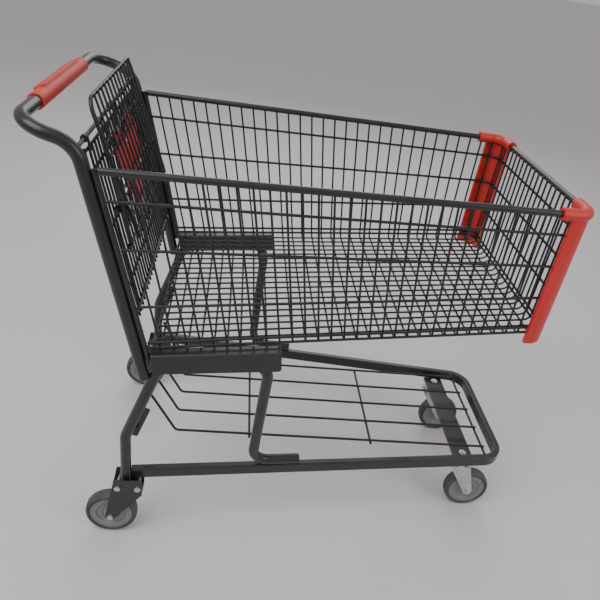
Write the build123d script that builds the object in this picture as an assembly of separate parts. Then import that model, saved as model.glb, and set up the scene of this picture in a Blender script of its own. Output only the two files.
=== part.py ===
"""Nesting shopping trolley with a swing-up rear gate and a folding child seat.

Millimetres. +X points to the nose, +Z up, the trolley is symmetric about Y = 0.
The origin lies on the floor under the middle of the bounding box.
"""

import os
from math import atan2, cos, degrees, radians, sin, sqrt, tan

from build123d import *

# ---- overall sizes
overall_length = 1180.0
rear_half = 288.0            # upright and rear bar centres, from the middle plane
handle_height = 1021.0       # handle tube centre above the floor
rim_height = 947.0           # rim bar centre above the floor
lean = radians(13.2)         # uprights and gate lean back at the top

# ---- tubes and wires
tube_d = 25.0
tube_wall = 1.8
rim_d = 14.0
rear_bar_d = 12.0
hoop_d = 6.0
mesh_d = 4.6
rack_d = 6.5
weld_sink = 0.2              # how far touching wires sink into each other

# ---- basket
basket_rear_x = -446.0       # rear bar centre at rim height
basket_front_x = 502.0       # rim centre across the nose
front_half = 252.0           # rim centre at the nose, from the middle plane
floor_rear_z = 560.0         # underside of the floor at the rear bars
floor_front_z = 658.0        # underside of the floor at the nose
side_gaps = 31               # gaps between upright side wires
floor_wires = 20
rim_corner_r = 32.0
cap_r = 13.0                 # bumper sleeve over the rim corner
cap_leg = 34.0
strip_out = 8.0              # bumper strip beyond the rim line
strip_leg = 10.0
strip_bottom_z = 640.0
bumper_gap = 0.3
side_bend_r = 9.0
floor_bend_r = 18.0
floor_side_gap = 24.0        # outermost floor wire to the side wires
hoop_rear_z = (890.0, 794.0, 668.0)
hoop_front_z = (901.0, 830.0, 756.0)
edge_hoop_lifts = (22.0, 9.3)   # two lowest hoops above the floor's underside

# ---- handle
handle_half = 298.0          # bar ends, a little wider than the uprights
handle_bend_r = 52.0
neck_bend_r = 60.0
arm_slope = radians(16.8)    # the arms rise to the handle
grip_r = 16.0
grip_reach = 18.8            # rearmost edge of the grip's pad behind the handle centre
grip_half = 171.0
grip_gap = 0.1
upright_foot_z = 496.0

# ---- chassis
chassis_half = 284.0
leg_x = -402.0
leg_foot_z = 147.0
leg_knee_z = 317.0
leg_top_x = -328.0
leg_bend_r = 55.0
elbow_r = 42.0
front_leg_x = -95.0
front_leg_foot_x = -104.0
foot_end_x = 14.0
channel_h = 48.0
channel_wall = 2.5
channel_gap = 0.3
channel_rear_x = -345.0
channel_front_x = -72.0

# ---- base frame
rail_h = 30.0
rail_w = 18.0
rail_wall = 1.6
rail_bottom_z = 181.0
rail_rear_half = 280.0
rail_front_half = 176.0
rail_corner_r = 52.0
plate_w = 54.0
plate_t = 6.0
rack_half = 150.0
rack_wires = 5
rack_cross_x = (-109.0, 218.0)
rack_bend_x = -300.0
rack_bend_r = 14.0
rack_rear_z = 340.0
rack_front_gap = 46.0        # last rack cross wire behind the nose bar's centre

# ---- casters
wheel_r = 62.5
wheel_w = 32.0
core_r = 51.0
core_w = 26.0
axle_r = 4.0
axle_clearance = 0.05
bush_r = 9.0
bush_end_gap = 0.4
cheek_t = 3.0
cheek_gap = 3.0              # wheel face to fork cheek
boss_r = 12.0
head_r = 8.0                 # axle and bolt heads
head_t = 5.0
caster_half = 154.0
swivel_back = 108.0          # swivel axis behind the nose
caster_trail = 45.0
crown_z = 153.0              # underside of the swivel fork's crown
crown_t = 4.0
crown_half = 28.0
swivel_gap = 0.3
race_r = 23.0
flange_t = 5.0
pin_r = 6.0
pin_clearance = 0.05
rear_trail = 36.0
socket_top_z = 191.0         # top of the rear fork's cheeks beside the leg
socket_front = 40.0          # cheek edge ahead of the leg's centre
socket_rear = 26.0
bolt_r = 4.0

# ---- rear gate (down runs along the closed gate, out stands forward off it)
gate_rod_z = 984.0
gate_rod_d = 8.0
gate_frame_d = 8.0
gate_half = 257.0
gate_bottom = 384.0
gate_pitch = 22.0
gate_wire_d = 5.0
gate_cross_d = 6.0
gate_bars_down = (18.0, 58.0, 177.0, 312.0)
leg_hole_wires = (2, 5)      # upright wires left out between the second and third bars
loop_slots = (0.5, 5.5, 10.5)
swing_gap = 0.3
eye_wall = 3.0
eye_w = 9.0
eye_clearance = 0.08
stop_z = 650.0
stop_d = 6.0

# ---- folding child seat, linked to the gate as a parallelogram
seat_down = 247.0            # upper pivot, on the gate
arm_down = 364.0             # lower pivot, on the gate
link_length = 215.0          # pivot to pivot, along the gate when folded
link_rise = 4.0              # the folded links lean this far off the gate
link_d = 6.0
arm_d = 5.0
seat_slot = 7.5              # side bars run between gate wires, counted in pitches
arm_slot = 10.5
open_pivot_gap = 0.3
plate_lobe_r = 46.0
plate_lobe_half = 62.0
plate_tip_r = 14.0
plate_tip_down = 224.0
seat_wire_d = 4.6
seat_cross_down = (134.0, 202.0)
seat_wire_slots = (5.5, 6.5)
back_half = 198.0
back_top = -57.0
back_bottom = 217.0
back_bar_d = 8.0
back_wire_d = 4.6
back_pitch = 29.0
back_slope = 0.095           # the panel stands off the gate toward its foot
back_corner_r = 26.0
back_cross_down = (-16.0, 50.0, 132.0, 212.0)
back_gap = 0.7               # panel bars to the seat's front bar
hook_slot = 4.5              # eyes on the seat's front bar, counted in panel pitches


def rod(start, end, diameter):
    """A straight round bar."""
    axis = Vector(*end) - Vector(*start)
    ends = (Align.CENTER, Align.CENTER, Align.MIN)
    return Plane(origin=start, z_dir=axis) * Cylinder(diameter / 2, axis.length, align=ends)


def bent_bar(points, bend_r, diameter, wall=0.0):
    """A round bar, or a tube when wall is given, bent at each inner point."""
    path = FilletPolyline(*points, radius=bend_r)
    start = Plane(origin=path @ 0, z_dir=path % 0)
    section = start * Circle(diameter / 2)
    if wall:
        section -= start * Circle(diameter / 2 - wall)
    return sweep(section, path=path)


def turned(profile_points, centre, axis):
    """A solid of revolution; points are (radius, distance along the axis)."""
    outline = make_face(Polyline(*[(r, 0, a) for r, a in profile_points], close=True))
    return Plane(origin=centre, z_dir=axis) * revolve(outline, axis=Axis.Z)


def disc(centre, axis, radius, thickness, bore=0.0):
    """A round plate centred on a point, with an optional hole."""
    shape = Cylinder(radius, thickness)
    if bore:
        shape -= Cylinder(bore, thickness)
    return Plane(origin=centre, z_dir=axis) * shape


def mirrored(shape):
    return mirror(shape, about=Plane.XZ)


def save(name, *shapes):
    """Write one node; several solids of one kind share a node."""
    flat = [solid for shape in shapes for solid in shape.solids()]
    whole = flat[0] if len(flat) == 1 else Compound(children=flat)
    export_step(whole, f"parts/{name}.step")


# ---- shared positions
handle_x = grip_reach - overall_length / 2
nose_x = overall_length / 2
swivel_x = nose_x - swivel_back
mesh_inset = rim_d / 2 + mesh_d / 2 - weld_sink
hoop_inset = rim_d / 2 - hoop_d / 2
rail_z = rail_bottom_z + rail_h / 2
rail_top_z = rail_bottom_z + rail_h
upright_offset = (tube_d / 2 + rear_bar_d / 2) / cos(lean)


def rim_half(x):
    """Half width of the rim line at x; the sides close in toward the nose."""
    share = (x - basket_rear_x) / (basket_front_x - basket_rear_x)
    return rear_half + (front_half - rear_half) * share


def rear_bar_x(z):
    return basket_rear_x + (rim_height - z) * tan(lean)


def upright_x(z):
    return rear_bar_x(z) - upright_offset


floor_rear_x = rear_bar_x(floor_rear_z)


def floor_z(x):
    """Underside of the basket floor, which climbs toward the nose."""
    share = (x - floor_rear_x) / (basket_front_x - floor_rear_x)
    return floor_rear_z + (floor_front_z - floor_rear_z) * share


def rail_half(x):
    share = (x - leg_x) / (nose_x - leg_x)
    return rail_rear_half + (rail_front_half - rail_rear_half) * share


def gate_point(down, across, out=0.0):
    """A point on the closed gate, measured from the middle of its hinge rod."""
    x = upright_x(gate_rod_z) + down * sin(lean) + out * cos(lean)
    z = gate_rod_z - down * cos(lean) + out * sin(lean)
    return (x, across, z)


# ---- handle, uprights and their grip

def handle_frame():
    """One tube: foot, upright, neck, arm, handle bar and back down again."""
    rise = tan(arm_slope)
    slope = tan(lean)
    foot_x = upright_x(upright_foot_z)
    reach = foot_x - handle_x
    neck_z = (handle_height - rise * (reach + slope * upright_foot_z)) / (1 - rise * slope)
    neck_x = upright_x(neck_z)
    side = [
        (foot_x, -rear_half, upright_foot_z),
        (neck_x, -rear_half, neck_z),
        (handle_x, -handle_half, handle_height),
    ]
    other_side = [(x, -y, z) for x, y, z in reversed(side)]
    radii = [neck_bend_r, handle_bend_r, handle_bend_r, neck_bend_r]
    return bent_bar(side + other_side, radii, tube_d, tube_wall)


def handle_grip():
    """Moulded sleeve with a raised flat pad on its upper rear face."""
    pad_half = grip_half - 50
    pad_w = 24.0
    pad_rise = 3.0
    sleeve = Rot(90, 0, 0) * Cylinder(grip_r, 2 * grip_half)
    sleeve = fillet(sleeve.edges(), 2.5)
    pad = Pos(0, 0, grip_r / 2) * Box(pad_w, 2 * pad_half, grip_r + 2 * pad_rise)
    pad = fillet(pad.edges(), 2.0)
    body = sleeve + Rot(0, -28, 0) * pad
    body -= Rot(90, 0, 0) * Cylinder(tube_d / 2 + grip_gap, 3 * grip_half)
    return Pos(handle_x, 0, handle_height) * body


# ---- chassis: two bent leg tubes, channels and the base frame

def chassis_tube():
    """Rear leg, knee, run under the channel, front leg and its welded foot."""
    run_z = floor_z(leg_top_x) - channel_h + tube_d / 2
    front_z = floor_z(front_leg_x) - channel_h + tube_d / 2
    foot_z = rail_top_z + tube_d / 2
    points = [
        (leg_x, -chassis_half, leg_foot_z),
        (leg_x, -chassis_half, leg_knee_z),
        (leg_top_x, -chassis_half, run_z),
        (front_leg_x, -chassis_half, front_z),
        (front_leg_foot_x, -rail_half(front_leg_foot_x), foot_z),
        (foot_end_x, -rail_half(foot_end_x), foot_z),
    ]
    radii = [leg_bend_r, leg_bend_r, elbow_r, elbow_r]
    return bent_bar(points, radii, tube_d, tube_wall)


def side_channel():
    """Upturned channel over the leg tube; the basket's edge sits on it."""
    inner_w = tube_d + 2 * channel_gap
    length = channel_front_x - channel_rear_x
    outer = Box(length, inner_w + 2 * channel_wall, channel_h)
    outer = fillet(outer.edges().filter_by(Axis.X).group_by(Axis.Z)[-1], 3.0)
    hollow = Pos(0, 0, -channel_wall) * Box(2 * length, inner_w, channel_h)
    shell = outer - hollow
    corners = shell.edges().filter_by(Axis.Y).group_by(Axis.X)[-1]
    shell = fillet(corners.group_by(Axis.Z)[0], 8.0)
    middle_x = (channel_rear_x + channel_front_x) / 2
    climb = atan2(floor_front_z - floor_rear_z, basket_front_x - floor_rear_x)
    place = Pos(middle_x, -chassis_half, floor_z(middle_x) - channel_h / 2)
    return place * Rot(0, -degrees(climb), 0) * shell


def base_rail():
    """Rectangular tube bent to a U, closed at the nose."""
    front_x = nose_x - rail_w / 2
    rear_x = leg_x + tube_d / 2 - weld_sink
    near = [(rear_x, -rail_half(rear_x), rail_z), (front_x, -rail_half(front_x), rail_z)]
    far = [(x, -y, z) for x, y, z in reversed(near)]
    path = FilletPolyline(*near, *far, radius=rail_corner_r)
    start = Plane(origin=path @ 0, z_dir=path % 0, x_dir=(0, 0, 1))
    section = start * RectangleRounded(rail_h, rail_w, 4.0)
    hole = start * RectangleRounded(rail_h - 2 * rail_wall, rail_w - 2 * rail_wall, 2.4)
    return sweep(section - hole, path=path)


def caster_plate():
    """Flat bar between the rails that carries the front casters."""
    half = rail_half(swivel_x) - rail_w / 2
    plate = Pos(swivel_x, 0, rail_bottom_z + plate_t / 2) * Box(plate_w, 2 * half - 8, plate_t)
    for side in (-1, 1):
        plate -= Pos(swivel_x, side * caster_half, rail_bottom_z) * Cylinder(pin_r, 4 * plate_t)
    return plate


rack_wire_z = rail_top_z + rack_d / 2
knee_run = leg_top_x - leg_x
knee_rise = floor_z(leg_top_x) - channel_h + tube_d / 2 - leg_knee_z
knee_lean = atan2(knee_run, knee_rise)
knee_wire_gap = (tube_d / 2 + rack_d / 2 - weld_sink) / cos(knee_lean)
rack_rear_x = leg_x + (rack_rear_z - leg_knee_z) * tan(knee_lean) + knee_wire_gap
rack_tilt = atan2(rack_rear_z - rack_wire_z, rack_bend_x - rack_rear_x)


def rack_rear_wire():
    """Cross wire from leg to leg that ends the rack at the rear."""
    ends = [(rack_rear_x, side * chassis_half, rack_rear_z) for side in (-1, 1)]
    return rod(*ends, rack_d)


def leg_bracket():
    """Plate welded to the inner side of each rear knee; the rack's rear wire passes it."""
    plate = fillet(Box(30, 4, 88).edges().filter_by(Axis.Y), 4.0)
    y = -chassis_half + tube_d / 2 + 2.0 - weld_sink
    z = leg_knee_z + 34
    x = leg_x + (z - leg_knee_z) * tan(knee_lean) + 13.0
    return Pos(x, y, z) * Rot(0, degrees(knee_lean), 0) * plate - rack_rear_wire()


def rack_long_wires():
    """Lower rack wires; their rear ends turn up to the cross wire between the legs."""
    front_x = nose_x - rail_w / 2 - rack_front_gap + rack_d / 2
    rear_x = rack_rear_x + (rack_d - weld_sink) / sin(rack_tilt)
    wires = []
    for i in range(rack_wires):
        y = -rack_half + i * 2 * rack_half / (rack_wires - 1)
        points = [
            (front_x, y, rack_wire_z),
            (rack_bend_x, y, rack_wire_z),
            (rear_x, y, rack_rear_z),
        ]
        wires.append(bent_bar(points, rack_bend_r, rack_d))
    return wires


def rack_cross_wires():
    """Cross wires under the long ones, and the rear one between the legs."""
    under_z = rack_wire_z - rack_d + weld_sink
    front_x = nose_x - rail_w / 2 - rack_front_gap
    front_reach = rail_half(front_x) - rail_w / 2 + weld_sink
    reach = rack_half + rack_d
    wires = [rod((x, -reach, under_z), (x, reach, under_z), rack_d) for x in rack_cross_x]
    wires.append(rod((front_x, -front_reach, under_z), (front_x, front_reach, under_z), rack_d))
    wires.append(rack_rear_wire())
    return wires


# ---- basket

def hoop(rear_z, front_z, inset, diameter, corner_r):
    """A bar that runs along one side, round the nose and back along the other."""
    rear_x = rear_bar_x(rear_z) + rear_bar_d / 2 / cos(lean) - weld_sink
    front_x = basket_front_x - inset
    near = [
        (rear_x, -rim_half(rear_x) + inset, rear_z),
        (front_x, -rim_half(front_x) + inset, front_z),
    ]
    far = [(x, -y, z) for x, y, z in reversed(near)]
    return bent_bar(near + far, corner_r, diameter)


def basket_hoops():
    heights = list(zip(hoop_rear_z, hoop_front_z))
    heights += [(floor_rear_z + lift, floor_front_z + lift) for lift in edge_hoop_lifts]
    return [hoop(rear, front, hoop_inset, hoop_d, rim_corner_r - hoop_inset) for rear, front in heights]


def side_wire_ends(i):
    """Rim end and floor end, along X, of side wire i; the wires fan out toward the rear."""
    share = i / side_gaps
    top_x = basket_rear_x + share * (basket_front_x - basket_rear_x)
    low_x = floor_rear_x + share * (basket_front_x - floor_rear_x)
    return top_x, low_x


def side_wires():
    """Upright wires of one side, each turned in under the floor."""
    wires = []
    turn_in = side_bend_r + 3.0
    for i in range(1, side_gaps):
        top_x, low_x = side_wire_ends(i)
        low_y = -rim_half(low_x) + mesh_inset
        low_z = floor_z(low_x) + mesh_d / 2
        points = [
            (top_x, -rim_half(top_x) + mesh_inset, rim_height),
            (low_x, low_y, low_z),
            (low_x, low_y + turn_in, low_z),
        ]
        wires.append(bent_bar(points, side_bend_r, mesh_d))
    return wires


def floor_cross_wires():
    """The middle lengths of the side wires, under the floor."""
    wires = []
    turn_in = side_bend_r + 3.0
    for i in range(1, side_gaps):
        low_x = side_wire_ends(i)[1]
        half = rim_half(low_x) - mesh_inset - turn_in
        z = floor_z(low_x) + mesh_d / 2
        wires.append(rod((low_x, -half, z), (low_x, half, z), mesh_d))
    return wires


floor_lift = 1.5 * mesh_d - weld_sink
mesh_front_x = basket_front_x - mesh_inset
floor_start_x = floor_rear_x + 14.0
floor_turn_x = mesh_front_x - floor_bend_r - 4.0


def floor_wire_y(i, x):
    """Floor wire i fans out toward the rear with the basket's sides."""
    share = 2 * i / (floor_wires - 1) - 1
    return share * (rim_half(x) - mesh_inset - floor_side_gap)


def floor_long_wires():
    wires = []
    for i in range(floor_wires):
        start = (floor_start_x, floor_wire_y(i, floor_start_x), floor_z(floor_start_x) + floor_lift)
        end = (floor_turn_x, floor_wire_y(i, floor_turn_x), floor_z(floor_turn_x) + floor_lift)
        wires.append(rod(start, end, mesh_d))
    return wires


def front_wires():
    """The same wires where they turn up across the nose."""
    wires = []
    for i in range(floor_wires):
        points = [
            (floor_turn_x, floor_wire_y(i, floor_turn_x), floor_z(floor_turn_x) + floor_lift),
            (mesh_front_x, floor_wire_y(i, mesh_front_x), floor_z(mesh_front_x) + floor_lift),
            (mesh_front_x, floor_wire_y(i, mesh_front_x), rim_height),
        ]
        wires.append(bent_bar(points, floor_bend_r, mesh_d))
    return wires


def rear_bar():
    """Straight bar in front of each upright, where the basket's side ends."""
    low_z = floor_rear_z - 14.0
    top_z = rim_height + 3.0
    low = (rear_bar_x(low_z), -rear_half, low_z)
    return rod(low, (rear_bar_x(top_z), -rear_half, top_z), rear_bar_d)


def rear_floor_bar():
    """Cross bar that ends the floor at the rear."""
    x = floor_start_x
    z = floor_z(x) + floor_lift - mesh_d / 2 - hoop_d / 2 + weld_sink
    half = floor_wire_y(floor_wires - 1, x) + hoop_d
    return rod((x, -half, z), (x, half, z), hoop_d)


def corner_bumper():
    """Moulded corner: a sleeve over the rim corner and a strip down the nose corner."""

    def corner_path(leg, out, z):
        """Round the nose corner, parallel to the rim line and out from it."""
        rear_x = basket_front_x - rim_corner_r - leg
        front_y = rim_corner_r + leg - rim_half(basket_front_x)
        corner_x = basket_front_x + out
        return [
            (rear_x, -rim_half(rear_x) - out, z),
            (corner_x, -rim_half(corner_x) - out, z),
            (corner_x, front_y, z),
        ]

    cap = bent_bar(corner_path(cap_leg, 0, rim_height), rim_corner_r, 2 * cap_r)
    strip_in = hoop_d / 2 - hoop_inset + bumper_gap
    middle = (strip_out + strip_in) / 2
    line = FilletPolyline(*corner_path(strip_leg, middle, strip_bottom_z), radius=rim_corner_r + middle)
    plan = trace(line, line_width=strip_out - strip_in)
    strip = extrude(plan, rim_height - strip_bottom_z)
    strip = chamfer(strip.edges().group_by(Axis.Z)[0], 1.2)
    hole_path = corner_path(2 * cap_leg, 0, rim_height)
    hole = bent_bar(hole_path, rim_corner_r, rim_d + 2 * bumper_gap)
    return cap + strip - hole


# ---- casters

cheek_inner = wheel_w / 2 + cheek_gap
cheek_outer = cheek_inner + cheek_t
front_axle_x = swivel_x + caster_trail
rear_axle_x = leg_x - rear_trail
clamp_bolt_z = socket_top_z - 24.0
clamp_bolt_x = (leg_x - tube_d / 2 - bolt_r - 0.5, leg_x + socket_front - 10.0)


def cheek_pair(x0, x1, z0, z1, axle_x, half):
    """Two fork cheeks: a plate from the top edge tapering round the axle."""
    top = Pos((x0 + x1) / 2, (z0 + z1) / 2) * Rectangle(x1 - x0, z1 - z0)
    boss = Pos(axle_x, wheel_r) * Circle(boss_r)
    outline = make_hull(top.edges() + boss.edges()) - Pos(axle_x, wheel_r) * Circle(axle_r)
    plate = extrude(Plane.XZ * outline, cheek_t / 2, both=True)
    middle = (cheek_inner + cheek_outer) / 2
    return [Pos(0, -half + side * middle, 0) * plate for side in (-1, 1)]


def front_fork():
    top_z = crown_z + crown_t
    x0 = swivel_x - crown_half
    x1 = swivel_x + crown_half
    near, far = cheek_pair(x0, x1, crown_z, top_z, front_axle_x, caster_half)
    crown = Pos(swivel_x, -caster_half, (crown_z + top_z) / 2)
    fork = near + far + crown * Box(2 * crown_half, 2 * cheek_outer, crown_t)
    return fork - crown * Cylinder(pin_r + pin_clearance, 4 * crown_t)


def front_caster_head():
    """Flange and bearing race between the base frame and the swivel fork."""
    race_z = crown_z + crown_t + swivel_gap
    race_top = rail_bottom_z - flange_t
    profile = [
        (pin_r, race_z),
        (race_r, race_z),
        (race_r, race_top - 4.0),
        (race_r - 4.0, race_top),
        (pin_r, race_top),
    ]
    race = turned(profile, (swivel_x, -caster_half, 0), (0, 0, 1))
    flange = Box(plate_w, 2 * race_r, flange_t)
    flange = fillet(flange.edges().filter_by(Axis.Z), 6.0)
    flange -= Cylinder(pin_r, 4 * flange_t)
    return race + Pos(swivel_x, -caster_half, rail_bottom_z - flange_t / 2) * flange


def kingpin():
    """Bolt on the swivel axis, with its head under the crown and a nut above the plate."""
    head_top = crown_z - swivel_gap
    nut_z = rail_bottom_z + plate_t
    shank = rod((0, 0, head_top - head_t), (0, 0, nut_z + head_t + 3.0), 2 * pin_r)
    head = extrude(Pos(0, 0, head_top - head_t) * RegularPolygon(11.0, 6), head_t)
    nut = extrude(Pos(0, 0, nut_z) * RegularPolygon(11.0, 6), head_t)
    return Pos(swivel_x, -caster_half, 0) * (shank + head + nut)


def rear_fork():
    """Fixed fork; its crown carries the leg's foot between the raised cheeks."""
    x0 = leg_x - socket_rear
    x1 = leg_x + socket_front
    near, far = cheek_pair(x0, x1, leg_foot_z - crown_t, socket_top_z, rear_axle_x, chassis_half)
    crown = Box(x1 - x0, 2 * cheek_outer, crown_t)
    fork = near + far + Pos((x0 + x1) / 2, -chassis_half, leg_foot_z - crown_t / 2) * crown
    for x in clamp_bolt_x:
        fork -= Pos(x, -chassis_half, clamp_bolt_z) * Cylinder(bolt_r, wheel_w * 2, rotation=(90, 0, 0))
    return fork


def headed_pin(x, y, z, radius, reach):
    """A cross bolt along Y with a head and a nut outside the cheeks."""
    pin = rod((x, y - reach - head_t, z), (x, y + reach + head_t, z), 2 * radius)
    for side in (-1, 1):
        head = RegularPolygon(head_r, 6)
        head = extrude(Plane.XZ * head, head_t / 2, both=True)
        pin += Pos(x, y + side * (reach + head_t / 2), z) * head
    return pin


def rear_cross_bolts():
    """Clamping bolts ahead of and behind each leg, through both cheeks."""
    bolts = []
    for x in clamp_bolt_x:
        for side in (-1, 1):
            bolts.append(headed_pin(x, side * chassis_half, clamp_bolt_z, bolt_r, cheek_outer))
    return bolts


def wheel_core():
    """Moulded core with a hub and a ring groove in each face."""
    half = core_w / 2
    side = [
        (bush_r, half + 2.0),
        (bush_r + 8.0, half + 2.0),
        (bush_r + 11.0, half - 5.0),
        (core_r - 14.0, half - 5.0),
        (core_r - 12.0, half),
        (core_r, half),
    ]
    return side + [(r, -a) for r, a in reversed(side)]


def wheel_tread():
    half = wheel_w / 2
    side = [
        (core_r, half - 3.0),
        (core_r + 3.0, half),
        (wheel_r - 4.0, half),
        (wheel_r - 1.2, half - 3.0),
        (wheel_r, half - 9.0),
    ]
    return side + [(r, -a) for r, a in reversed(side)]


def wheel_bush():
    bore = axle_r + axle_clearance
    half = cheek_inner - bush_end_gap
    return [(bore, half), (bush_r, half), (bush_r, -half), (bore, -half)]


# ---- rear gate

gate_wire_out = gate_rod_d / 2 + gate_wire_d / 2 + swing_gap
gate_cross_out = gate_wire_out - gate_wire_d / 2 - gate_cross_d / 2 + weld_sink
gate_frame_out = gate_wire_out - gate_wire_d / 2 - gate_frame_d / 2 + weld_sink
pivot_out = gate_wire_out + gate_wire_d / 2 + link_d / 2 - weld_sink
gate_wire_count = int((gate_half - gate_frame_d) / gate_pitch)


def eye(bore_d, tab_from, tab_to, length):
    """Hinge eye across Y with a flat tab hanging down; out is along local X."""
    outer = bore_d / 2 + eye_clearance + eye_wall
    body = Cylinder(outer, eye_w, rotation=(90, 0, 0))
    thick = tab_to - tab_from
    body += Pos(tab_from + thick / 2, 0, -length / 2) * Box(thick, eye_w, length)
    return body - Cylinder(bore_d / 2 + eye_clearance, 2 * eye_w, rotation=(90, 0, 0))


def on_gate(down, across, out=0.0):
    """Placement on the closed gate: local X stands out, local Z runs up the gate."""
    return Pos(*gate_point(down, across, out)) * Rot(0, -degrees(lean), 0)


def gate_frame():
    """U-shaped bar: both sides and the bottom of the gate."""
    top = gate_rod_d / 2 + gate_frame_d
    near = [gate_point(down, -gate_half, gate_frame_out) for down in (top, gate_bottom)]
    far = [gate_point(down, gate_half, gate_frame_out) for down in (gate_bottom, top)]
    return bent_bar(near + far, 14.0, gate_frame_d)


def gate_uprights():
    """Upright wires; the ones across each leg hole stop at the bars above and below it."""
    top = gate_bars_down[0] - 6.0
    low = gate_bottom + gate_frame_d / 2
    above = gate_bars_down[1] + gate_cross_d / 2
    below = gate_bars_down[2] - gate_cross_d / 2
    wires = []
    for i in range(-gate_wire_count, gate_wire_count + 1):
        y = i * gate_pitch
        spans = [(top, low)]
        if leg_hole_wires[0] <= abs(i) <= leg_hole_wires[1]:
            spans = [(top, above), (below, low)]
        for start, end in spans:
            ends = [gate_point(down, y, gate_wire_out) for down in (start, end)]
            wires.append(rod(*ends, gate_wire_d))
    return wires


def gate_bars():
    """Cross bars behind the upright wires, and the two link pivots in front of them."""
    reach = gate_half - gate_frame_d / 2 + weld_sink
    bars = []
    for down in gate_bars_down:
        ends = [gate_point(down, side * reach, gate_cross_out) for side in (-1, 1)]
        bars.append(rod(*ends, gate_cross_d))
    for down, slot in ((seat_down, seat_slot), (arm_down, arm_slot)):
        pivot_reach = (slot + 0.5) * gate_pitch + gate_wire_d
        ends = [gate_point(down, side * pivot_reach, pivot_out) for side in (-1, 1)]
        bars.append(rod(*ends, link_d))
    return bars


def gate_loops():
    """Eyes that hang the gate on its rod, between the upright wires."""
    face = gate_cross_out + gate_cross_d / 2 - weld_sink
    outer = gate_rod_d / 2 + eye_clearance + eye_wall
    loop = eye(gate_rod_d, face, outer, gate_bars_down[0] + gate_cross_d)
    places = [side * slot * gate_pitch for slot in loop_slots for side in (-1, 1)]
    return [on_gate(0, y) * loop for y in places]


def gate_rod():
    half = rear_half - tube_d / 2 + weld_sink
    return rod(gate_point(0, -half), gate_point(0, half), gate_rod_d)


def gate_stops():
    """Short pins on the uprights that the closed gate rests against."""
    out = gate_frame_out - gate_frame_d / 2 - stop_d / 2 - swing_gap
    down = (gate_rod_z - stop_z) / cos(lean)
    root = rear_half - sqrt((tube_d / 2) ** 2 - (out + stop_d / 2) ** 2) + weld_sink
    tip = gate_half - gate_frame_d
    pins = []
    for side in (-1, 1):
        ends = [gate_point(down, side * y, out) for y in (root, tip)]
        pins.append(rod(*ends, stop_d))
    return pins


# ---- child seat, modelled folded against the gate

seat_half = seat_slot * gate_pitch
arm_half = arm_slot * gate_pitch
link_out = pivot_out + link_rise
link_tilt = degrees(atan2(link_rise, link_length))
hook_down = seat_down - link_length
back_out = link_out + link_d / 2 + back_gap + back_bar_d / 2
back_wire_lift = back_bar_d / 2 + back_wire_d / 2 - weld_sink
back_cross_lift = back_wire_lift - back_wire_d / 2 - gate_cross_d / 2 + weld_sink
seat_cross_lift = link_d / 2 + gate_cross_d / 2 - weld_sink
seat_wire_lift = seat_cross_lift - gate_cross_d / 2 - seat_wire_d / 2 + weld_sink


def seat_point(down, across, lift=0.0):
    """A point on the folded seat's plane; lift stands forward off it."""
    out = pivot_out + link_rise * (seat_down - down) / link_length
    return gate_point(down, across, out + lift)


def back_point(down, across, lift=0.0):
    """A point on the back panel's plane; lift stands forward off it."""
    return gate_point(down, across, back_out + back_slope * (down - hook_down) + lift)


def pivot_eye(across, down):
    """Plain eye round a link pivot."""
    ring = disc((0, 0, 0), (0, 1, 0), link_d / 2 + eye_clearance + eye_wall, eye_w)
    return on_gate(down, across, pivot_out) * ring


def pivot_bore(across, down):
    hole = disc((0, 0, 0), (0, 1, 0), link_d / 2 + eye_clearance, 2 * eye_w)
    return on_gate(down, across, pivot_out) * hole


def seat_frame():
    """U-shaped bar from pivot eye to pivot eye; its cross part is the front bar."""
    start = seat_down - link_d / 2 - 2 * eye_clearance
    near = [seat_point(down, -seat_half) for down in (start, hook_down)]
    far = [seat_point(down, seat_half) for down in (hook_down, start)]
    frame = bent_bar(near + far, 12.0, link_d)
    for side in (-1, 1):
        frame += pivot_eye(side * seat_half, seat_down)
        frame -= pivot_bore(side * seat_half, seat_down)
    return frame


def seat_wires():
    """Wires that carry the seat plate and fill the frame beside it."""
    wires = []
    for down in seat_cross_down:
        ends = [seat_point(down, side * seat_half, seat_cross_lift) for side in (-1, 1)]
        wires.append(rod(*ends, gate_cross_d))
    top = hook_down + link_d / 2 + 1.0
    low = seat_cross_down[-1] + gate_cross_d
    for slot in seat_wire_slots:
        for side in (-1, 1):
            y = side * slot * gate_pitch
            ends = [seat_point(down, y, seat_wire_lift) for down in (top, low)]
            wires.append(rod(*ends, seat_wire_d))
    return wires


def seat_plate():
    """Moulded two-lobed seat that covers the leg holes when folded."""
    lobe_down = hook_down + link_d / 2 + 1.5 + plate_lobe_r
    tip = Pos(0, -plate_tip_down) * Circle(plate_tip_r)
    outline = Polyline(
        (-plate_lobe_half, -lobe_down),
        (plate_lobe_half, -lobe_down),
        (0, -plate_tip_down),
        close=True,
    )
    plan = make_face(outline)
    for side in (-1, 1):
        lobe = Pos(side * plate_lobe_half, -lobe_down) * Circle(plate_lobe_r)
        plan += make_hull(lobe.edges() + tip.edges())
    plate = extrude(Plane.YZ * plan, link_d / 2, both=True)
    lower_edges = plate.edges().group_by(Axis.X)
    plate = fillet(lower_edges[0] + lower_edges[-1], 1.5)
    lift = link_rise * seat_down / link_length
    place = Pos(*gate_point(0, 0, pivot_out + lift)) * Rot(0, link_tilt - degrees(lean), 0)
    return place * plate


def back_frame():
    """Arched bar round the top and sides of the back panel."""
    near = [back_point(down, -back_half) for down in (back_bottom, back_top)]
    far = [back_point(down, back_half) for down in (back_top, back_bottom)]
    return bent_bar(near + far, back_corner_r, back_bar_d)


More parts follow.
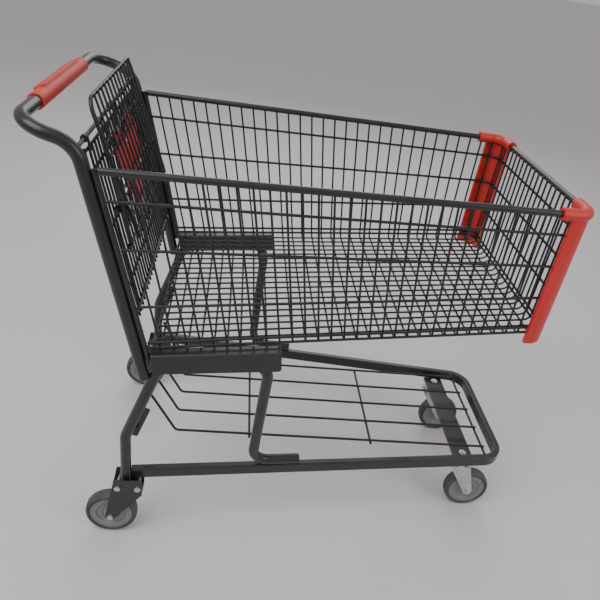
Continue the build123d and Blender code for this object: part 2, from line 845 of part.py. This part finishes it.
def back_wires():
    """Upright wires of the back panel."""
    count = int((back_half - back_bar_d) / back_pitch)
    wires = []
    for i in range(-count, count + 1):
        y = i * back_pitch
        top = back_top - back_bar_d / 2
        ends = [back_point(down, y, back_wire_lift) for down in (top, back_bottom)]
        wires.append(rod(*ends, back_wire_d))
    return wires


def back_bars():
    """Cross bars of the back panel, between its side bars."""
    reach = back_half - back_bar_d / 2 + weld_sink
    bars = []
    for down in back_cross_down:
        ends = [back_point(down, side * reach, back_cross_lift) for side in (-1, 1)]
        bars.append(rod(*ends, gate_cross_d))
    return bars


def back_loops():
    """Eyes on the seat's front bar, and the eyes for the arms' pins."""
    outer = link_d / 2 + eye_clearance + eye_wall
    tab_length = back_cross_down[1] - hook_down + gate_cross_d / 2
    stand_off = back_out + back_slope * (back_cross_down[1] - hook_down) - link_out
    face = stand_off + back_cross_lift - gate_cross_d / 2 + weld_sink
    hook = eye(link_d, min(link_d / 2 + eye_clearance, face - 2.0), face, tab_length)
    hook_y = hook_slot * back_pitch
    loops = [on_gate(hook_down, side * hook_y, link_out) * hook for side in (-1, 1)]
    pin_eye_w = 6.0
    elbow_down = arm_down - link_length
    bar_out = back_out + back_slope * (elbow_down - hook_down) - link_out
    ring = Circle(arm_d / 2 + open_pivot_gap + eye_wall)
    root = Pos(bar_out, 0) * Circle(back_bar_d / 2)
    lug = extrude(make_hull(ring.edges() + root.edges()), pin_eye_w / 2, both=True)
    lug = Rot(90, 0, 0) * (lug - Cylinder(arm_d / 2 + open_pivot_gap, 2 * pin_eye_w))
    frame = back_frame()
    for side in (-1, 1):
        y = side * (back_half + pin_eye_w / 2)
        loops.append(on_gate(elbow_down, y, link_out) * lug - frame)
    return loops


def seat_arm():
    """Bent bar: an eye on the gate's lower pivot and a pin in the back panel."""
    elbow_down = arm_down - link_length
    start = arm_down - link_d / 2 - 2 * eye_clearance
    start_out = pivot_out + link_rise * (arm_down - start) / link_length
    points = [
        gate_point(elbow_down, -back_half - 1.0, link_out),
        gate_point(elbow_down, -arm_half, link_out),
        gate_point(start, -arm_half, start_out),
    ]
    arm = bent_bar(points, 6.0, arm_d) + pivot_eye(-arm_half, arm_down)
    return arm - pivot_bore(-arm_half, arm_down)


os.makedirs("parts", exist_ok=True)

# the near side is built first and the far side is its mirror image
pairs = {
    "chassis_tube": chassis_tube(),
    "side_channel": side_channel(),
    "corner_bumper": corner_bumper(),
    "front_caster_head": front_caster_head(),
    "rear_fork": rear_fork(),
    "front_fork": front_fork(),
    "front_axle": headed_pin(front_axle_x, -caster_half, wheel_r, axle_r, cheek_outer),
}
for name, shape in pairs.items():
    save(f"{name}_right", shape)
    save(f"{name}_left", mirrored(shape))

both_sides = {
    "leg_brackets": leg_bracket(),
    "rear_bars": rear_bar(),
    "kingpin_bolts": kingpin(),
    "rear_axles": headed_pin(rear_axle_x, -chassis_half, wheel_r, axle_r, cheek_outer),
    "seat_arms": seat_arm(),
}
for name, shape in both_sides.items():
    save(name, shape, mirrored(shape))

one_side = side_wires()
save("side_wires_right", *one_side)
save("side_wires_left", *[mirrored(wire) for wire in one_side])

singles = {
    "handle_frame": handle_frame(),
    "handle_grip": handle_grip(),
    "base_rail": base_rail(),
    "caster_plate": caster_plate(),
    "basket_rim": hoop(rim_height, rim_height, 0.0, rim_d, rim_corner_r),
    "rear_floor_bar": rear_floor_bar(),
    "gate_rod": gate_rod(),
    "gate_frame": gate_frame(),
    "seat_frame": seat_frame(),
    "seat_plate": seat_plate(),
    "back_frame": back_frame(),
}
for name, shape in singles.items():
    save(name, shape)

groups = {
    "rack_long_wires": rack_long_wires(),
    "rack_cross_wires": rack_cross_wires(),
    "basket_hoops": basket_hoops(),
    "floor_cross_wires": floor_cross_wires(),
    "floor_long_wires": floor_long_wires(),
    "front_wires": front_wires(),
    "rear_cross_bolts": rear_cross_bolts(),
    "gate_stops": gate_stops(),
    "gate_uprights": gate_uprights(),
    "gate_bars": gate_bars(),
    "gate_loops": gate_loops(),
    "seat_wires": seat_wires(),
    "back_wires": back_wires(),
    "back_bars": back_bars(),
    "back_loops": back_loops(),
}
for name, shapes in groups.items():
    save(name, *shapes)

wheel_parts = {"core": wheel_core(), "tread": wheel_tread(), "bush": wheel_bush()}
wheel_places = {
    "front_right": (front_axle_x, -caster_half),
    "front_left": (front_axle_x, caster_half),
    "rear_right": (rear_axle_x, -chassis_half),
    "rear_left": (rear_axle_x, chassis_half),
}
for corner, (x, y) in wheel_places.items():
    for piece, profile in wheel_parts.items():
        save(f"{corner}_{piece}", turned(profile, (x, y, wheel_r), (0, 1, 0)))
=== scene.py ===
from math import cos, pi, radians, sin

import bmesh
import bpy
from mathutils import Matrix, Vector


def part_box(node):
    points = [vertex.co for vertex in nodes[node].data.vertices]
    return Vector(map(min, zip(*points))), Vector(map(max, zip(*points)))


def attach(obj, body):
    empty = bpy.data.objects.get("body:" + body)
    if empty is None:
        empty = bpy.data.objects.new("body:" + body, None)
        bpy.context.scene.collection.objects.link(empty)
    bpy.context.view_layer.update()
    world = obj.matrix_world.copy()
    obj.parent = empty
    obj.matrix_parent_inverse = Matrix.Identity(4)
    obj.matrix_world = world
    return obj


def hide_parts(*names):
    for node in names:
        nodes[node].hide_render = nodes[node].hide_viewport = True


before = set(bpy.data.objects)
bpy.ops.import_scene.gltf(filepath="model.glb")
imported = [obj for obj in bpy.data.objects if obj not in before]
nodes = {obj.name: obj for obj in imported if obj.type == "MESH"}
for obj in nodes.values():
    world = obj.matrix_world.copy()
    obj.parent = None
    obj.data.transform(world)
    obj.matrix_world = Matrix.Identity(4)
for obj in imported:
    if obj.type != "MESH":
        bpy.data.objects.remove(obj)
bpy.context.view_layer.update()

mm = 0.001


# materials: shared node groups first, then one material for each finish

def newGroup(name, inputs, outputs):
    group = bpy.data.node_groups.new(name, "ShaderNodeTree")
    for label, kind, default in inputs:
        socket = group.interface.new_socket(label, in_out="INPUT", socket_type=kind)
        socket.default_value = default
    for label, kind in outputs:
        group.interface.new_socket(label, in_out="OUTPUT", socket_type=kind)
    return group, group.nodes.new("NodeGroupInput"), group.nodes.new("NodeGroupOutput")


def feed(tree, value, socket):
    if isinstance(value, (int, float, tuple)):
        socket.default_value = value
    else:
        tree.links.new(value, socket)


def mathNode(tree, operation, first, second):
    node = tree.nodes.new("ShaderNodeMath")
    node.operation = operation
    feed(tree, first, node.inputs[0])
    feed(tree, second, node.inputs[1])
    return node.outputs[0]


def rangeNode(tree, value, low, high, toLow, toHigh):
    node = tree.nodes.new("ShaderNodeMapRange")
    for label, number in (("Value", value), ("From Min", low), ("From Max", high)):
        feed(tree, number, node.inputs[label])
    for label, number in (("To Min", toLow), ("To Max", toHigh)):
        feed(tree, number, node.inputs[label])
    return node.outputs[0]


def mixColour(tree, factor, first, second):
    node = tree.nodes.new("ShaderNodeMix")
    node.data_type = "RGBA"
    feed(tree, factor, node.inputs[0])
    feed(tree, first, node.inputs[6])
    feed(tree, second, node.inputs[7])
    return node.outputs[2]


def noiseNode(tree, coords, scale, detail):
    node = tree.nodes.new("ShaderNodeTexNoise")
    node.inputs["Detail"].default_value = detail
    feed(tree, scale, node.inputs["Scale"])
    tree.links.new(coords, node.inputs["Vector"])
    return node.outputs["Fac"]


def makeMottle():
    group, start, end = newGroup(
        "mottle",
        [
            ("Colour", "NodeSocketColor", (0.5, 0.5, 0.5, 1)),
            ("Second Colour", "NodeSocketColor", (0.4, 0.4, 0.4, 1)),
            ("Patch Scale", "NodeSocketFloat", 9.0),
            ("Roughness", "NodeSocketFloat", 0.4),
            ("Roughness Spread", "NodeSocketFloat", 0.1),
        ],
        [("Colour", "NodeSocketColor"), ("Roughness", "NodeSocketFloat")],
    )
    coords = group.nodes.new("ShaderNodeTexCoord").outputs["Object"]
    patches = noiseNode(group, coords, start.outputs["Patch Scale"], 4.0)
    mask = rangeNode(group, patches, 0.35, 0.65, 0.0, 1.0)
    tone = mixColour(group, mask, start.outputs["Colour"], start.outputs["Second Colour"])
    fine = noiseNode(group, coords, 60.0, 5.0)
    spread = mathNode(group, "MULTIPLY", fine, start.outputs["Roughness Spread"])
    group.links.new(tone, end.inputs["Colour"])
    rough = mathNode(group, "ADD", start.outputs["Roughness"], spread)
    group.links.new(rough, end.inputs["Roughness"])
    return group


def makeDust():
    group, start, end = newGroup(
        "settledDust",
        [
            ("Colour", "NodeSocketColor", (0.1, 0.1, 0.1, 1)),
            ("Dust Colour", "NodeSocketColor", (0.42, 0.40, 0.37, 1)),
            ("Amount", "NodeSocketFloat", 0.15),
            ("Roughness", "NodeSocketFloat", 0.4),
        ],
        [
            ("Colour", "NodeSocketColor"), ("Roughness", "NodeSocketFloat"),
            ("Mask", "NodeSocketFloat"),
        ],
    )
    coords = group.nodes.new("ShaderNodeTexCoord").outputs["Object"]
    split = group.nodes.new("ShaderNodeSeparateXYZ")
    group.links.new(group.nodes.new("ShaderNodeNewGeometry").outputs["Normal"], split.inputs[0])
    upward = rangeNode(group, split.outputs["Z"], 0.25, 1.0, 0.12, 1.0)
    cloud = rangeNode(group, noiseNode(group, coords, 14.0, 6.0), 0.38, 0.72, 0.15, 1.0)
    specks = rangeNode(group, noiseNode(group, coords, 420.0, 2.0), 0.5, 0.72, 0.35, 1.0)
    mask = mathNode(group, "MULTIPLY", upward, mathNode(group, "MULTIPLY", cloud, specks))
    mask = mathNode(group, "MULTIPLY", mask, start.outputs["Amount"])
    tone = mixColour(group, mask, start.outputs["Colour"], start.outputs["Dust Colour"])
    group.links.new(tone, end.inputs["Colour"])
    rough = rangeNode(group, mask, 0.0, 1.0, start.outputs["Roughness"], 0.85)
    group.links.new(rough, end.inputs["Roughness"])
    group.links.new(mask, end.inputs["Mask"])
    return group


def makeScuffs():
    group, start, end = newGroup(
        "scuffs",
        [
            ("Scale", "NodeSocketFloat", 40.0),
            ("Stretch", "NodeSocketFloat", 6.0),
            ("Amount", "NodeSocketFloat", 0.5),
        ],
        [("Mask", "NodeSocketFloat")],
    )
    coords = group.nodes.new("ShaderNodeTexCoord").outputs["Object"]
    warp = group.nodes.new("ShaderNodeVectorMath")
    warp.operation = "MULTIPLY"
    group.links.new(coords, warp.inputs[0])
    stretch = group.nodes.new("ShaderNodeCombineXYZ")
    stretch.inputs[0].default_value = 1.0
    stretch.inputs[1].default_value = 1.0
    group.links.new(start.outputs["Stretch"], stretch.inputs[2])
    group.links.new(stretch.outputs[0], warp.inputs[1])
    lines = noiseNode(group, warp.outputs[0], start.outputs["Scale"], 8.0)
    marks = rangeNode(group, lines, 0.62, 0.70, 0.0, 1.0)
    where = rangeNode(group, noiseNode(group, coords, 11.0, 2.0), 0.5, 0.62, 0.0, 1.0)
    mask = mathNode(group, "MULTIPLY", marks, where)
    group.links.new(mathNode(group, "MULTIPLY", mask, start.outputs["Amount"]), end.inputs["Mask"])
    return group


def makeGrain():
    group, start, end = newGroup(
        "surfaceGrain",
        [
            ("Fine Scale", "NodeSocketFloat", 900.0),
            ("Wave Scale", "NodeSocketFloat", 120.0),
            ("Wave Share", "NodeSocketFloat", 0.5),
        ],
        [("Height", "NodeSocketFloat")],
    )
    coords = group.nodes.new("ShaderNodeTexCoord").outputs["Object"]
    fine = noiseNode(group, coords, start.outputs["Fine Scale"], 2.0)
    wave = noiseNode(group, coords, start.outputs["Wave Scale"], 2.0)
    wave = mathNode(group, "MULTIPLY", wave, start.outputs["Wave Share"])
    group.links.new(mathNode(group, "ADD", fine, wave), end.inputs["Height"])
    return group


mottle, dust, scuffs, grain = makeMottle(), makeDust(), makeScuffs(), makeGrain()


def useGroup(tree, group, **values):
    node = tree.nodes.new("ShaderNodeGroup")
    node.node_tree = group
    for label, value in values.items():
        feed(tree, value, node.inputs[label.replace("_", " ")])
    return node


def makeFinish(name, look):
    material = bpy.data.materials.new(name)
    material.use_nodes = True
    tree = material.node_tree
    shader = tree.nodes["Principled BSDF"]
    base = useGroup(
        tree, mottle, Colour=look["colour"], Second_Colour=look["second"],
        Patch_Scale=look["patch"], Roughness=look["rough"], Roughness_Spread=look["spread"],
    )
    marks = useGroup(tree, scuffs, Scale=look["scuffScale"], Stretch=look["stretch"], Amount=look["scuffs"])
    tone = mixColour(tree, marks.outputs["Mask"], base.outputs["Colour"], look["scuffColour"])
    film = useGroup(tree, dust, Colour=tone, Amount=look["dust"], Roughness=base.outputs["Roughness"])
    tree.links.new(film.outputs["Colour"], shader.inputs["Base Color"])
    tree.links.new(film.outputs["Roughness"], shader.inputs["Roughness"])
    relief = useGroup(
        tree, grain, Fine_Scale=look["fine"], Wave_Scale=look["wave"], Wave_Share=look["waveShare"],
    )
    bump = tree.nodes.new("ShaderNodeBump")
    bump.inputs["Strength"].default_value = look["bump"]
    bump.inputs["Distance"].default_value = look["depth"]
    tree.links.new(relief.outputs["Height"], bump.inputs["Height"])
    tree.links.new(bump.outputs["Normal"], shader.inputs["Normal"])
    shader.inputs["Metallic"].default_value = look["metal"]
    shader.inputs["Specular IOR Level"].default_value = look["specular"]
    shader.inputs["Coat Weight"].default_value = look["coat"]
    shader.inputs["Coat Roughness"].default_value = look["coatRough"]
    return material


plainLook = {
    "colour": (0.5, 0.5, 0.5, 1), "second": (0.45, 0.45, 0.45, 1), "patch": 8.0,
    "rough": 0.35, "spread": 0.12, "scuffScale": 40.0, "stretch": 5.0, "scuffs": 0.25,
    "scuffColour": (0.3, 0.3, 0.3, 1), "dust": 0.2, "fine": 900.0, "wave": 150.0,
    "waveShare": 1.5, "bump": 0.25, "depth": 0.0004, "metal": 0.0, "specular": 0.5,
    "coat": 0.0, "coatRough": 0.2,
}


def look(**changes):
    return {**plainLook, **changes}


paint = makeFinish("charcoalPowderCoat", look(
    colour=(0.014, 0.0145, 0.015, 1), second=(0.020, 0.0205, 0.021, 1), rough=0.26,
    scuffs=0.10, scuffColour=(0.10, 0.10, 0.095, 1), dust=0.07, coat=0.25, coatRough=0.10,
    specular=0.42, fine=1400.0, wave=420.0))
wirePaint = makeFinish("charcoalWireCoat", look(
    colour=(0.011, 0.0115, 0.012, 1), second=(0.017, 0.0175, 0.018, 1), rough=0.30,
    scuffs=0.08, scuffColour=(0.08, 0.08, 0.075, 1), dust=0.05, coat=0.15, coatRough=0.12,
    specular=0.38, fine=2200.0, wave=700.0))
redMoulding = makeFinish("redMoulding", look(
    colour=(0.62, 0.028, 0.020, 1), second=(0.54, 0.020, 0.016, 1), rough=0.36, spread=0.16,
    scuffs=0.30, scuffColour=(0.34, 0.030, 0.026, 1), stretch=0.35, dust=0.10,
    fine=1600.0, wave=90.0, waveShare=3.0, bump=0.2, coat=0.1))
gripRed = makeFinish("redGripMoulding", look(
    colour=(0.56, 0.040, 0.024, 1), second=(0.48, 0.030, 0.019, 1), rough=0.44, spread=0.16,
    scuffs=0.35, scuffColour=(0.36, 0.05, 0.035, 1), stretch=1.0, dust=0.06,
    fine=1100.0, wave=70.0, waveShare=2.0, bump=0.35))
zinc = makeFinish("zincPlate", look(
    colour=(0.66, 0.67, 0.69, 1), second=(0.52, 0.54, 0.57, 1), patch=70.0, rough=0.28,
    spread=0.2, scuffs=0.5, scuffColour=(0.36, 0.36, 0.37, 1), scuffScale=90.0, dust=0.15,
    metal=1.0, fine=800.0, wave=260.0, bump=0.15))
greyCore = makeFinish("greyWheelMoulding", look(
    colour=(0.235, 0.245, 0.255, 1), second=(0.20, 0.208, 0.217, 1), rough=0.5, scuffs=0.35,
    scuffColour=(0.12, 0.12, 0.12, 1), dust=0.30, fine=1300.0, wave=200.0))
treadRubber = makeFinish("treadRubber", look(
    colour=(0.040, 0.040, 0.037, 1), second=(0.075, 0.073, 0.064, 1), patch=26.0, rough=0.6,
    scuffs=0.6, scuffColour=(0.14, 0.135, 0.12, 1), scuffScale=55.0, dust=0.45,
    fine=700.0, wave=90.0, bump=0.5, depth=0.0008))
print("materials made")

thickBars = ("handle_frame", "chassis_tube", "side_channel", "base_rail", "caster_plate", "leg_brackets")
thickBars += ("basket_rim", "rear_bars", "rear_fork")
bright = ("front_fork", "front_axle", "rear_axles", "rear_cross_bolts", "kingpin", "front_caster")
finishes = [
    (("handle_grip",), gripRed), (("corner_bumper", "seat_plate"), redMoulding), (thickBars, paint),
    (bright, zinc),
]


def finishOf(name):
    for starts, material in finishes:
        if name.startswith(starts):
            return material
    for end, material in (("_core", greyCore), ("_tread", treadRubber), ("_bush", zinc)):
        if name.endswith(end):
            return material
    return wirePaint


for name, node in nodes.items():
    node.data.materials.clear()
    node.data.materials.append(finishOf(name))


# helpers for new pieces

def newPiece(name, bm, material, body, replaced):
    bmesh.ops.remove_doubles(bm, verts=bm.verts, dist=0.00001)
    bmesh.ops.recalc_face_normals(bm, faces=bm.faces)
    mesh = bpy.data.meshes.new(name)
    bm.to_mesh(mesh)
    bm.free()
    piece = bpy.data.objects.new(name, mesh)
    bpy.context.scene.collection.objects.link(piece)
    mesh.materials.append(material)
    mesh.shade_smooth()
    mesh.set_sharp_from_angle(angle=radians(38))
    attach(piece, body)
    if replaced:
        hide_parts(*replaced)
    return piece


def boxMiddle(node):
    low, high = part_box(node)
    return (Vector(low) + Vector(high)) / 2


# wheels: core and tread are spun about the axle from their half profiles

wheel = {
    "steps": 72,
    "core": [
        (9.0, 15.0), (16.2, 15.0), (17.4, 14.2), (18.2, 9.4), (19.4, 8.4), (21.6, 8.0),
        (22.6, 9.6), (24.6, 10.2), (26.4, 9.4), (27.4, 8.0), (35.0, 8.0), (36.4, 8.8),
        (37.4, 12.0), (38.6, 13.0), (43.4, 13.0), (44.0, 11.8), (45.2, 11.8), (45.8, 13.0),
        (50.0, 13.2), (51.2, 12.2),
    ],
    "tread": [
        (51.0, 13.4), (52.2, 15.2), (54.0, 16.0), (56.4, 15.9), (58.8, 14.6), (60.8, 11.8),
        (62.0, 8.0), (62.4, 4.0), (62.5, 0.0),
    ],
}


def spinPiece(halfProfile, centre, steps):
    bm = bmesh.new()
    outline = halfProfile + [(r, -a) for r, a in reversed(halfProfile) if a > 0]
    verts = [bm.verts.new((centre.x + r * mm, centre.y + a * mm, centre.z)) for r, a in outline]
    edges = [bm.edges.new((verts[i - 1], verts[i])) for i in range(len(verts))]
    bmesh.ops.spin(
        bm, geom=verts + edges, cent=centre, axis=(0, 1, 0), angle=2 * pi,
        steps=steps, use_merge=True, use_duplicate=False,
    )
    return bm


def makeWheels():
    parts = (("core", greyCore, "wheel_core"), ("tread", treadRubber, "wheel_tread"))
    for corner in ("front_right", "front_left", "rear_right", "rear_left"):
        centre = boxMiddle(f"{corner}_tread")
        for part, material, slotName in parts:
            bm = spinPiece(wheel[part], centre, wheel["steps"])
            name = f"{corner}_{part}"
            newPiece(f"{name}_spun", bm, material, f"{corner}_wheel", [name])


makeWheels()
print("wheels made")


# grip: a lipped sleeve with a raised pad on its upper rear face

grip = {
    "radius": 16.0, "padHalf": 120.8, "padWidth": 23.6, "padLow": -2.8, "padHigh": 18.7,
    "tilt": -28.0, "steps": 56, "padEdge": 2.6, "padEdgeSteps": 4, "padEdgeShape": 0.6,
    "end": [
        (12.7, 171.0), (14.6, 171.0), (15.6, 170.4), (16.0, 169.2), (16.0, 165.8), (15.5, 164.8),
        (15.2, 163.2), (15.4, 161.4), (15.8, 160.2), (15.9, 158.0),
    ],
}


def makeGrip():
    boxLow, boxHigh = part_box("handle_grip")
    radius = grip["radius"] * mm
    centre = Vector((boxHigh[0] - radius, 0, boxLow[2] + radius))
    bm = spinPiece(grip["end"], centre, grip["steps"])
    pad = bmesh.ops.create_cube(bm, size=1.0)["verts"]
    top, bottom = grip["padHigh"], grip["padLow"]
    size = (grip["padWidth"] * mm, 2 * grip["padHalf"] * mm, (top - bottom) * mm)
    bmesh.ops.scale(bm, verts=pad, vec=size)
    bmesh.ops.translate(bm, verts=pad, vec=(0, 0, (top + bottom) / 2 * mm))
    padEdges = list({edge for vert in pad for edge in vert.link_edges})
    bevelled = bmesh.ops.bevel(
        bm, geom=pad + padEdges, offset=grip["padEdge"] * mm, segments=grip["padEdgeSteps"],
        profile=grip["padEdgeShape"], affect="EDGES",
    )
    turned = list({vert for face in bevelled["faces"] for vert in face.verts})
    place = Matrix.Translation(centre) @ Matrix.Rotation(radians(grip["tilt"]), 4, "Y")
    bmesh.ops.transform(bm, verts=turned, matrix=place)
    newPiece("grip_sleeve", bm, gripRed, "chassis", ["handle_grip"])


makeGrip()
print("grip made")

# camera, floor and light

camera = {
    "place": (-0.208, -1.308, 1.343), "yaw": 8.34, "pitch": 31.2, "roll": 9.09,
    "focal": 600.6, "frame": 600.0, "centre": (297.7, 300.7), "sensor": 36.0,
}


def makeCamera():
    yaw, pitch, roll = (radians(camera[key]) for key in ("yaw", "pitch", "roll"))
    forward = Vector((sin(yaw) * cos(pitch), cos(yaw) * cos(pitch), -sin(pitch)))
    level = Vector((cos(yaw), -sin(yaw), 0))
    upright = level.cross(forward)
    right = level * cos(roll) + upright * sin(roll)
    above = upright * cos(roll) - level * sin(roll)
    data = bpy.data.cameras.new("mainView")
    data.sensor_width = camera["sensor"]
    data.lens = camera["focal"] / camera["frame"] * camera["sensor"]
    data.shift_x = (camera["frame"] / 2 - camera["centre"][0]) / camera["frame"]
    data.shift_y = (camera["centre"][1] - camera["frame"] / 2) / camera["frame"]
    data.clip_start = 0.02
    view = bpy.data.objects.new("mainView", data)
    turn = Matrix((right, above, -forward)).transposed().to_4x4()
    view.matrix_world = Matrix.Translation(camera["place"]) @ turn
    bpy.context.scene.collection.objects.link(view)
    bpy.context.scene.camera = view


def makeFloor():
    bm = bmesh.new()
    bmesh.ops.create_grid(bm, x_segments=2, y_segments=2, size=40.0)
    mesh = bpy.data.meshes.new("floor")
    bm.to_mesh(mesh)
    bm.free()
    floor = bpy.data.objects.new("floor", mesh)
    bpy.context.scene.collection.objects.link(floor)
    material = bpy.data.materials.new("paleFloor")
    material.use_nodes = True
    tree = material.node_tree
    coords = tree.nodes.new("ShaderNodeTexCoord").outputs["Object"]
    cloud = noiseNode(tree, coords, 1.6, 4.0)
    tone = mixColour(tree, cloud, (0.65, 0.60, 0.64, 1), (0.70, 0.655, 0.69, 1))
    shader = tree.nodes["Principled BSDF"]
    tree.links.new(tone, shader.inputs["Base Color"])
    shader.inputs["Roughness"].default_value = 0.55
    mesh.materials.append(material)


lamps = [
    {"name": "mainSoftbox", "place": (-1.6, -1.2, 3.0), "aim": (0.0, 0.0, 0.5), "size": 2.2, "power": 62.0},
    {"name": "sideSoftbox", "place": (2.6, -1.8, 2.2), "aim": (0.1, 0.0, 0.5), "size": 1.8, "power": 26.0},
    {"name": "backSoftbox", "place": (0.4, 2.8, 2.6), "aim": (0.0, 0.0, 0.6), "size": 2.4, "power": 34.0},
]


def makeLight():
    for lamp in lamps:
        data = bpy.data.lights.new(lamp["name"], "AREA")
        data.shape = "SQUARE"
        data.size = lamp["size"]
        data.energy = lamp["power"]
        light = bpy.data.objects.new(lamp["name"], data)
        toward = Vector(lamp["aim"]) - Vector(lamp["place"])
        light.rotation_euler = toward.to_track_quat("-Z", "Y").to_euler()
        light.location = lamp["place"]
        bpy.context.scene.collection.objects.link(light)
    world = bpy.data.worlds.new("paleRoom")
    world.use_nodes = True
    world.node_tree.nodes["Background"].inputs["Color"].default_value = (0.80, 0.79, 0.77, 1)
    world.node_tree.nodes["Background"].inputs["Strength"].default_value = 0.62
    bpy.context.scene.world = world


makeCamera()
makeFloor()
makeLight()
print("camera, floor and light set")
